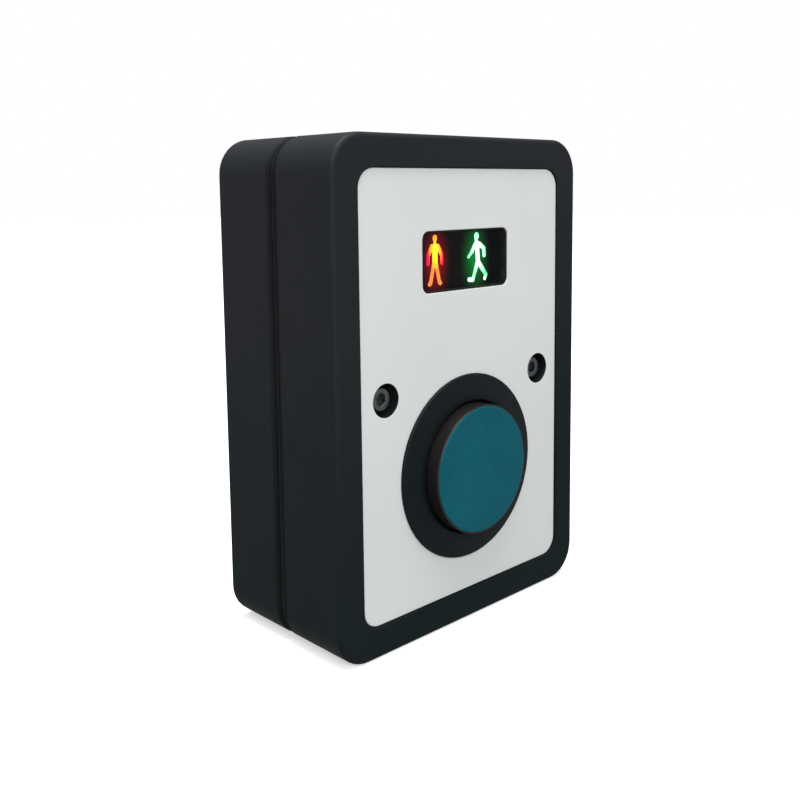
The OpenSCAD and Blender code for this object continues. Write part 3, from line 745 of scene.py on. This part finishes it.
def socket_screw(bm, x):
    top, under = screw["f1"], screw["f1"] - HEAD_HEIGHT
    tip = screw["f0"]
    hexagon = KEY / math.sqrt(3)
    steps = [(hexagon * 1.08, top), (hexagon, top - SOCKET_EDGE), (hexagon, top - SOCKET_DEPTH)]
    socket = bored(bm, steps, x, 0, 6, closed=True)
    thread = under - PLAIN_SHANK
    steps = [(HEAD_R - HEAD_EDGE, top), (HEAD_R - 0.12 * MM, top - HEAD_EDGE * 0.6),
             (HEAD_R, top - HEAD_EDGE), (HEAD_R, under), (SHANK_R, under), (SHANK_R, thread)]
    for i in range(int((thread - tip - PITCH) / PITCH)):
        f = thread - i * PITCH
        steps += [(SHANK_R - THREAD_DEPTH, f - PITCH / 2), (SHANK_R, f - PITCH)]
    steps += [(SHANK_R - TIP_EDGE, tip)]
    outside = bored(bm, steps, x, 0, 48, closed=True)
    floor(bm, outside[0], socket[0])


bm = bmesh.new()
for side in SIDES:
    socket_screw(bm, side * screw_x)
finish_piece(bm, "sunk_screws", "screw_steel", ["cover_screws"], sharp=30)

# %% [markdown]
# ## Bezel
# Three turned pieces on one axis, each a profile spun once round. The bezel is the guide: a flange on the
# plate, a barrel through it, and a floor with a bushing for the stem. Its flange slopes gently towards
# the rim.

# %% Bezel
def corner_arc(radius, r, f, start, end, steps=5):
    """Profile points round a corner whose centre is at (r, f)."""
    return [(r + a, f + b) for a, b in arc(radius, start, end, steps)]


BORE_EDGE, RIM_ARC, CROWN_ARC = 0.9 * MM, 0.7 * MM, 1.5 * MM
SEAL_GROOVE = (BARREL_R + 0.6 * MM, BARREL_R + 4 * MM, 0.8 * MM)
BUSHING_R, BUSHING_BORE_R = STEM_R + 3 * MM, STEM_R + 0.05 * MM
flange_r, front = bezel["w"] / 2, bezel["f1"]
back_f, bushing_back = plate["f1"], bezel["f0"]
barrel_floor = bushing_back + 9 * MM
floor_back = barrel_floor - 3 * MM
inner, outer, groove_f = SEAL_GROOVE[0], SEAL_GROOVE[1], back_f + SEAL_GROOVE[2]
profile = corner_arc(BORE_EDGE, BORE_R + BORE_EDGE, front - BORE_EDGE, 180, 90)
profile += corner_arc(CROWN_ARC, BARREL_R - BARREL_GAP, front - CROWN_ARC, 90, 72, 3)
profile += corner_arc(RIM_ARC, flange_r - RIM_ARC, back_f + 0.4 * MM, 78, 0)
profile += [(flange_r, back_f), (outer, back_f), (outer, groove_f), (inner, groove_f), (inner, back_f),
            (BARREL_R, back_f), (BARREL_R, floor_back), (BUSHING_R, floor_back), (BUSHING_R, bushing_back),
            (BUSHING_BORE_R, bushing_back), (BUSHING_BORE_R, barrel_floor), (BORE_R, barrel_floor)]
turned("flange_and_barrel", "bezel_plastic", ["button_bezel"], profile)

# %% [markdown]
# ## Plunger
# A hollow drum on a stem, so the spring fits inside it. It has a shallow seat for the cap, a groove for
# the ring seal and one near the stem's end for the clip. Its profile starts and ends on the axis.

# %% Plunger
SEAT_EDGE, RIM_ROUND, FILLET = 0.1 * MM, 0.3 * MM, 1 * MM
COLLAR_R, CLIP_GROOVE_R, STEM_END_R, STEM_TIP_R = 6 * MM, 3 * MM, 3.5 * MM, 1.2 * MM
rim_f, seat_f, stem_end = plunger["f1"], cap["f0"], plunger["f0"]
plunger_r, cap_seat_r = plunger["w"] / 2, cap["w"] / 2 + 0.05 * MM
groove_r, skirt_r = plunger_r - 1.2 * MM, plunger_r - 2.8 * MM
seal_f = back_f - 1.7 * MM
groove_front, groove_back = seal_f + 1 * MM, seal_f - 1 * MM
collar_back, disc_back, skirt_back = barrel_floor + 4.1 * MM, seat_f - 3 * MM, back_f - 9.2 * MM
clip_front, clip_back = bushing_back - 0.1 * MM, bushing_back - 1.1 * MM
profile = [(0, seat_f), (cap_seat_r, seat_f)]
profile += corner_arc(SEAT_EDGE, cap_seat_r + SEAT_EDGE, rim_f - SEAT_EDGE, 180, 90, 2)
profile += corner_arc(RIM_ROUND, plunger_r - RIM_ROUND, rim_f - RIM_ROUND, 90, 0, 4)
profile += [(plunger_r, groove_front), (groove_r, groove_front), (groove_r, groove_back),
            (plunger_r, groove_back), (plunger_r, skirt_back), (skirt_r, skirt_back)]
profile += corner_arc(FILLET, skirt_r - FILLET, disc_back - FILLET, 0, 90, 4)
profile += corner_arc(FILLET, COLLAR_R + FILLET, disc_back - FILLET, 90, 180, 4)
profile += [(COLLAR_R, collar_back), (STEM_R, collar_back), (STEM_R, clip_front),
            (CLIP_GROOVE_R, clip_front), (CLIP_GROOVE_R, clip_back), (STEM_END_R, clip_back),
            (STEM_END_R, stem_end + 0.8 * MM), (STEM_TIP_R, stem_end), (0, stem_end)]
turned("hollow_plunger", "plunger_plastic", ["plunger"], profile)

# %% [markdown]
# ## Return spring
# A spin that also climbs makes a helix. The two ends climb less, so that they lie flat on their seats as
# on a real spring. Only the coil changes shape when the button is pressed.

# %% Return spring
COILS, FLAT_TURNS, STEPS = 5, 0.75, 48
WIRE_R = 0.9 * MM
spring_r = spring["w"] / 2 - WIRE_R
bm = bmesh.new()
start = Matrix.Translation((spring_r, -(spring["f0"] + WIRE_R), 0))
end_loop = bmesh.ops.create_circle(bm, segments=16, radius=WIRE_R, matrix=start)["verts"]
height = spring["f1"] - spring["f0"] - 2 * WIRE_R
flat_rise = FLAT_TURNS * 2.1 * WIRE_R
flat_end, open_part = (FLAT_TURNS, flat_rise), (COILS - 2 * FLAT_TURNS, height - 2 * flat_rise)
for turns, climb in (flat_end, open_part, flat_end):
    count = round(turns * STEPS)
    swept = bmesh.ops.spin(bm, geom=end_loop + edges_of(end_loop), cent=(0, 0, 0), axis=(0, 1, 0),
                           dvec=(0, -climb / count, 0), angle=2 * math.pi * turns, steps=count,
                           use_duplicate=False)
    end_loop = [g for g in swept["geom_last"] if isinstance(g, bmesh.types.BMVert)]
bmesh.ops.holes_fill(bm, edges=[e for e in bm.edges if e.is_boundary], sides=0)
bmesh.ops.translate(bm, verts=bm.verts[:], vec=(button_x, 0, button_z))
coil = finish_piece(bm, "spring_coil", "spring_steel", ["return_spring"], weighted=False)
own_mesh(coil)

# %% [markdown]
# ## Cap
# A disc with a round edge, which leaves a thin ring of the plunger showing round it.

# %% Cap
CAP_EDGE = 0.45 * MM
cap_r, cap_f = cap["w"] / 2, cap["f1"]
profile = [(0, cap_f), (cap_r - 3 * MM, cap_f)]
profile += corner_arc(CAP_EDGE, cap_r - CAP_EDGE, cap_f - CAP_EDGE, 90, 0, 5)
profile += [(cap_r, seat_f), (0, seat_f)]
turned("cap_disc", "cap_teal", ["button_cap"], profile)

# %% [markdown]
# ## Window pane
# The pane is smoked plastic with a raised middle, which fills the opening in the plate nearly flush. A
# black rubber lip lines the opening between the two.

# %% Pane and its lip
def pane_loop(bm, inset, f):
    return display_loop(bm, pane["w"] - 2 * inset, pane["h"] - 2 * inset, f)


PANE_EDGE = 0.25 * MM
STEP_EDGE = 0.35 * MM
shoulder, step_f = pane["f0"] + 2 * MM, pane["f1"] - STEP_EDGE
rise = EASE + LIP_T
bm = bmesh.new()
loops = [pane_loop(bm, PANE_EDGE, pane["f0"]), pane_loop(bm, 0, pane["f0"] + PANE_EDGE)]
loops += [pane_loop(bm, 0, shoulder), window_loop(bm, rise, shoulder)]
loops += [window_loop(bm, rise + STEP_EDGE - a, step_f + b) for a, b in arc(STEP_EDGE, 0, 90, 4)]
skin(bm, loops)
floor(bm, loops[0])
floor(bm, loops[-1])
finish_piece(bm, "window_pane", "window_glass", ["display_window"])

bm = bmesh.new()
half = LIP_T / 2 - EASE / 4
middle = EASE / 2 + LIP_T / 2
loops = [window_loop(bm, EASE / 2 + LIP_T, seal["f0"])]
loops += [window_loop(bm, middle + a, seal["f1"] - half + b) for a, b in arc(half, 0, 180, 6)]
loops += [window_loop(bm, middle - half, plate["f0"])]
loops += [pane_loop(bm, 0, plate["f0"]), pane_loop(bm, 0, seal["f0"])]
skin(bm, loops + [loops[0]])
finish_piece(bm, "window_lip", "seal_rubber", ["window_seal"])

# %% [markdown]
# ## Lit figures
# Behind the pane two figures of light-guiding plastic stand on a mask. Each is made of flattened
# capsules, one for each limb, which a voxel remesh melts into one soft shape. That is quicker than
# drawing an outline, and it gives the swollen look of a lit sign. They stand a little aside, where a
# thick pane would make them appear.

# %% Figures
FIGURE_SCALE = 0.97
FIGURE_DEPTH = 0.7


def limb(bm, start, end, wide, thick, at, f):
    """Flattened capsule from start to end, in millimetres from the figure's middle."""
    balls = []
    for px, pz in (start, end):
        ball = bmesh.ops.create_uvsphere(bm, u_segments=16, v_segments=10, radius=wide / 2 * MM)
        bmesh.ops.scale(bm, verts=ball["verts"], vec=(1, thick / wide, 1))
        bmesh.ops.translate(bm, verts=ball["verts"], vec=(at[0] + px * MM, -f, at[1] + pz * MM))
        balls += ball["verts"]
    hull = bmesh.ops.convex_hull(bm, input=balls)
    spare = [g for g in hull["geom_interior"] + hull["geom_unused"] if isinstance(g, bmesh.types.BMVert)]
    bmesh.ops.delete(bm, geom=list(set(spare)), context="VERTS")


def figure(name, slot, node, limbs, at, f):
    """Melts the limbs into one soft shape."""
    bm = bmesh.new()
    for start, end, wide in limbs:
        limb(bm, start, end, wide, FIGURE_DEPTH, at, f)
    bmesh.ops.scale(bm, verts=bm.verts[:], vec=(1, 1, FIGURE_SCALE), space=Matrix.Translation((0, 0, -at[1])))
    mesh = bpy.data.meshes.new(name + "_limbs")
    bm.to_mesh(mesh)
    bm.free()
    draft = put_in_scene(name + "_limbs", mesh)
    remesh = draft.modifiers.new("melt", "REMESH")
    remesh.mode = "VOXEL"
    remesh.voxel_size = 0.13 * MM
    smooth = draft.modifiers.new("soften", "SMOOTH")
    smooth.factor = 0.5
    smooth.iterations = 4
    bm = bmesh.new()
    bm.from_object(draft, bpy.context.evaluated_depsgraph_get())
    bpy.data.objects.remove(draft)
    return finish_piece(bm, name, slot, [node], sharp=80, weighted=False)


def lit_plastic(name, centre, reach, core, edge, rim, legs, strength):
    """Plastic that glows, brightest along its middle. The glow falls off over reach, below which the
    legs have a colour of their own, and towards the outline the surface turns away and takes the rim's."""
    made = Finish(name, Emission_Strength=strength, Roughness=0.4, Base_Color=rim)
    offset = made.vector("SUBTRACT", made.place(), (centre[0], 0, centre[1]))
    away = made.reach(offset, (1 / reach[0], 0, 1 / reach[1]))
    drop = made.part("Z", offset)
    turned_off = made.node("ShaderNodeLayerWeight", None, {"Blend": 0.4}, out="Facing")
    lumps = made.noise(700.0, 2.0) * 0.2
    body = made.blend(made.spread(away + lumps, 0.55, 0.9), core, edge)
    body = made.blend(made.spread(away + lumps, 1.0, 1.5), body, rim)
    lower = made.blend(turned_off ** 2.0, legs, edge)
    low_part = made.spread(drop, -0.85 * reach[1], -1.1 * reach[1])
    made.feed(Emission_Color=made.blend(low_part, body, lower))
    made.bump(made.noise(900.0, 2.0), 0.00003, 0.3)
    return made.material


SEEN_RIGHT, SEEN_LOWER = 0.9 * MM, 0.4 * MM
red_at = (red["x"] + SEEN_RIGHT, pane["z"] - SEEN_LOWER)
green_at = (green["x"] + SEEN_RIGHT, pane["z"] - SEEN_LOWER)
FINISHES["red_light"] = lit_plastic("red_light", (red_at[0], red_at[1] + 3 * MM), (2.6 * MM, 5.8 * MM),
                                    rgb(255, 246, 40), rgb(255, 190, 40), rgb(214, 12, 62),
                                    rgb(255, 138, 66), 2.5)
FINISHES["green_light"] = lit_plastic("green_light", (green_at[0] + 0.4 * MM, green_at[1] + 1.5 * MM),
                                      (4.4 * MM, 8.6 * MM), rgb(244, 255, 252), rgb(170, 255, 205),
                                      rgb(20, 226, 118), rgb(232, 255, 244), 2.8)

# start and end of each limb's middle line, across and up in millimetres, and its width
standing = [((0, 8.9), (0, 8.5), 2.2), ((0, 8.2), (0, 6.4), 1.2), ((-0.8, 5.6), (0.8, 5.6), 2.0),
            ((0, 5.0), (0, -1.0), 2.7), ((-1.5, 5.6), (-3.2, 2.9), 1.9), ((1.5, 5.6), (3.2, 2.9), 1.9),
            ((-3.5, 2.8), (-3.6, -0.9), 1.5), ((3.5, 2.8), (3.6, -0.9), 1.5),
            ((-0.7, -1.2), (-2.3, -7.9), 1.6), ((0.7, -1.2), (2.2, -7.8), 1.6),
            ((-2.5, -8.1), (-2.8, -8.3), 1.8), ((2.4, -8.0), (2.7, -8.2), 1.8)]
walking = [((0, 8.7), (0, 8.3), 2.6), ((-0.3, 7.2), (-0.1, 6.4), 1.4), ((0.2, 5.2), (0.5, 5.0), 3.4),
           ((0.4, 4.2), (0.8, -1.6), 2.2), ((-0.9, 5.3), (-2.5, 2.6), 1.6), ((-2.5, 2.6), (-4.5, 0.6), 1.3),
           ((1.6, 5.4), (4.1, 3.6), 1.9), ((4.1, 3.6), (4.3, 0.8), 1.7),
           ((0.4, -1.8), (-0.8, -5.0), 1.7), ((-0.8, -5.0), (-2.0, -7.9), 1.5),
           ((-2.2, -8.3), (-4.1, -8.1), 1.9), ((1.2, -1.8), (3.6, -4.7), 2.0),
           ((3.6, -4.7), (5.2, -6.6), 1.8), ((5.2, -6.8), (4.6, -8.3), 1.5)]
figure_f = mask["f1"] + 0.3 * MM
figure("red_standing_figure", "red_light", "red_figure", standing, red_at, figure_f)
figure("green_walking_figure", "green_light", "green_figure", walking, green_at, figure_f)

# %% [markdown]
# ## Mask
# The mask is a black slab, and the light that leaks round each figure tints it. The glow is a falling
# function of the distance from each figure's middle, so it needs no lamp.

# %% Mask
def glowing_mask(inwards):
    """Black mask with a glow round each figure, whose middle is moved inwards."""
    made = Finish("display_mask_glow", Roughness=0.7, Emission_Strength=2.0, Specular_IOR_Level=0.0)
    glows = []
    for centre in ((red_at[0] + inwards, red_at[1]), (green_at[0] - inwards, green_at[1])):
        offset = made.vector("SUBTRACT", made.place(), (centre[0], 0, centre[1]))
        away = made.reach(offset, (1 / (6.5 * MM), 0, 1 / (12 * MM)))
        glows.append(made.spread(away, 0.2, 1.4, 1.0, 0.0))
    red_glow = made.blend(glows[0] ** 2.0, BLACK, rgb(150, 6, 26))
    both = made.blend(glows[1] ** 2.0, red_glow, rgb(0, 128, 44))
    grain = made.noise(1500.0, 2.0)
    made.feed(Emission_Color=both, Base_Color=made.blend(grain, rgb(3, 4, 5), rgb(7, 9, 10)))
    made.bump(grain, 0.00002, 0.3)
    return made.material


MASK_EDGE, MASK_CORNER = 0.15 * MM, 0.6 * MM
FINISHES["display_mask_glow"] = glowing_mask(0.6 * MM)
bm = bmesh.new()
steps = ((MASK_EDGE, mask["f1"]), (0, mask["f1"] - MASK_EDGE), (0, mask["f0"]))
loops = skin(bm, [rounded(bm, mask["w"] - 2 * d, mask["h"] - 2 * d, MASK_CORNER, f, mask["z"], 3)
                  for d, f in steps])
floor(bm, loops[0])
floor(bm, loops[-1])
piece = finish_piece(bm, "lamp_mask", "display_black", ["display_mask"])
piece.data.materials[0] = FINISHES["display_mask_glow"]

# %% [markdown]
# ## The inner pieces
# Many inner pieces have the right shape already, but real ones never have knife edges. So each mesh is
# copied from the frame, its flat faces are merged, and its sharp edges are bevelled by a radius that
# suits the way it is made: large on moulded parts, tiny on stamped ones.

# %% A softened copy of a node
def copy_of(node):
    """The node's mesh, with its vertices merged."""
    source = frame["nodes"][node]
    bm = bmesh.new()
    bm.from_mesh(source.data)
    bm.transform(source.matrix_world)
    bmesh.ops.remove_doubles(bm, verts=bm.verts[:], dist=SAME_POINT)
    return bm


def softened(node, slot, radius):
    """Copy of a node with its sharp edges rounded, in place of the node."""
    bm = copy_of(node)
    bmesh.ops.dissolve_limit(bm, angle_limit=math.radians(0.5), verts=bm.verts[:], edges=bm.edges[:])
    sharp = [e for e in bm.edges if e.is_manifold and e.calc_face_angle(0) > math.radians(35)]
    bmesh.ops.bevel(bm, geom=sharp, offset=radius * MM, offset_type="OFFSET", segments=2,
                    profile=0.5, affect="EDGES", clamp_overlap=True, material=-1)
    return finish_piece(bm, node + "_piece", slot, [node])


# %% Inner pieces: finish and edge radius in millimetres
INNER = {
    "seal_rubber": {"cover_gasket": 0.3, "screw_seals": 0.2, "cable_grommet": 0.35, "bezel_gasket": 0.2},
    "brass": {"threaded_inserts": 0.2, "switch_terminals": 0.12, "terminal_screws": 0.12},
    "display_black": {"display_case": 0.3},
    "red_light": {"red_leds": 0.2},
    "green_light": {"green_leds": 0.2},
    "board_green": {"display_board": 0.1, "control_board": 0.1},
    "bright_steel": {"display_screws": 0.15, "retaining_clip": 0.1, "switch_lever": 0.06,
                     "lever_pin": 0.1, "switch_bracket": 0.15, "switch_screws": 0.2, "switch_nuts": 0.25,
                     "bracket_screws": 0.15, "board_screws": 0.15},
    "connector_nylon": {"display_socket": 0.3, "board_socket": 0.3},
    "bezel_plastic": {"bezel_locknut": 0.4},
    "switch_plastic": {"switch_body": 0.3},
    "switch_pin_red": {"switch_pin": 0.3},
    "terminal_blue": {"terminal_block": 0.2},
    "relay_plastic": {"power_relay": 0.5},
    "capacitor_sleeve": {"capacitors": 0.8},
    "chip_plastic": {"control_chip": 0.1},
}
for slot, radii in INNER.items():
    for node, radius in radii.items():
        softened(node, slot, radius)

# %% [markdown]
# The two leads are tubes of short straight pieces. Joining their triangles into quads lets one level of
# subdivision round them, both along their length and across it. The plunger's seal is round as it is.

# %% Leads and seal
for node, slot in (("display_lead", "lead_grey"), ("switch_lead", "lead_red")):
    bm = copy_of(node)
    bmesh.ops.join_triangles(bm, faces=bm.faces[:], angle_face_threshold=math.radians(30),
                             angle_shape_threshold=math.radians(60))
    lead = finish_piece(bm, node + "_piece", slot, [node], sharp=80, weighted=False)
    rounder = lead.modifiers.new("rounder", "SUBSURF")
    rounder.levels = rounder.render_levels = 1

shown = frame["nodes"]["plunger_seal"]
shown.data.materials.clear()
shown.data.materials.append(FINISHES["seal_rubber"])

# %% [markdown]
# ## Floor
# A wide white card just under the case. It glows more towards its far edge, so no horizon shows.

# %% Floor
def studio_floor():
    """Near-white card that brightens away from the case, so that it runs into the white surround."""
    made = Finish("studio_floor", Roughness=0.9, Specular_IOR_Level=0.1, Emission_Strength=1.0)
    far = made.spread(made.vector("LENGTH", made.place(), out="Value"), 0.25, 0.9)
    made.feed(Base_Color=made.blend(made.noise(3.0, 2.0), rgb(240, 240, 240), rgb(246, 246, 246)),
              Emission_Color=made.blend(far, (0.45, 0.45, 0.45, 1), WHITE))
    return made.material


FLOOR_R, FLOOR_GAP = 6.0, 0.2 * MM
bm = bmesh.new()
bmesh.ops.create_circle(bm, cap_ends=True, segments=96, radius=FLOOR_R,
                        matrix=Matrix.Translation((0, 0, -cover["h"] / 2 - FLOOR_GAP)))
mesh = bpy.data.meshes.new("studio_floor")
bm.to_mesh(mesh)
bm.free()
mesh.materials.append(studio_floor())
studio = put_in_scene("studio_floor", mesh)
studio.visible_diffuse = False
studio.visible_glossy = False

# %% [markdown]
# ## Lights
# A large soft source overhead and one at the upper left model the edges, and a weak fill keeps the dark
# plastic readable. The camera sees a white surround, but the reflections see a dimmer one. Otherwise the
# dark plastic would mirror pure white and turn grey.

# %% Lights
def softbox(name, place, size, power):
    """Square lamp at place, pointed at the middle of the case."""
    lamp = bpy.data.lights.new(name, "AREA")
    lamp.shape = "SQUARE"
    lamp.size = size
    lamp.energy = power
    made = put_in_scene(name, lamp)
    target = Vector((0, -cover["f1"] / 2, 0))
    made.location = place
    made.rotation_mode = "QUATERNION"
    made.rotation_quaternion = (target - Vector(place)).to_track_quat("-Z", "Y")


softbox("key", (-0.75, -1.15, 0.7), 0.8, 13.9)
softbox("overhead", (-0.15, -0.1, 1.3), 0.9, 25.0)
softbox("fill", (0.35, -1.3, 0.9), 0.8, 2.0)

world = bpy.data.worlds.new("surround")
bpy.context.scene.world = world
world.use_nodes = True
tree = world.node_tree
seen = tree.nodes["Background"]
dim = tree.nodes.new("ShaderNodeBackground")
for background, strength in ((seen, 1.0), (dim, 0.45)):
    background.inputs["Color"].default_value = WHITE
    background.inputs["Strength"].default_value = strength
path = tree.nodes.new("ShaderNodeLightPath")
mix = tree.nodes.new("ShaderNodeMixShader")
tree.links.new(path.outputs["Is Camera Ray"], mix.inputs[0])
tree.links.new(dim.outputs[0], mix.inputs[1])
tree.links.new(seen.outputs[0], mix.inputs[2])
tree.links.new(mix.outputs[0], tree.nodes["World Output"].inputs["Surface"])
bpy.context.scene.view_settings.view_transform = "Standard"
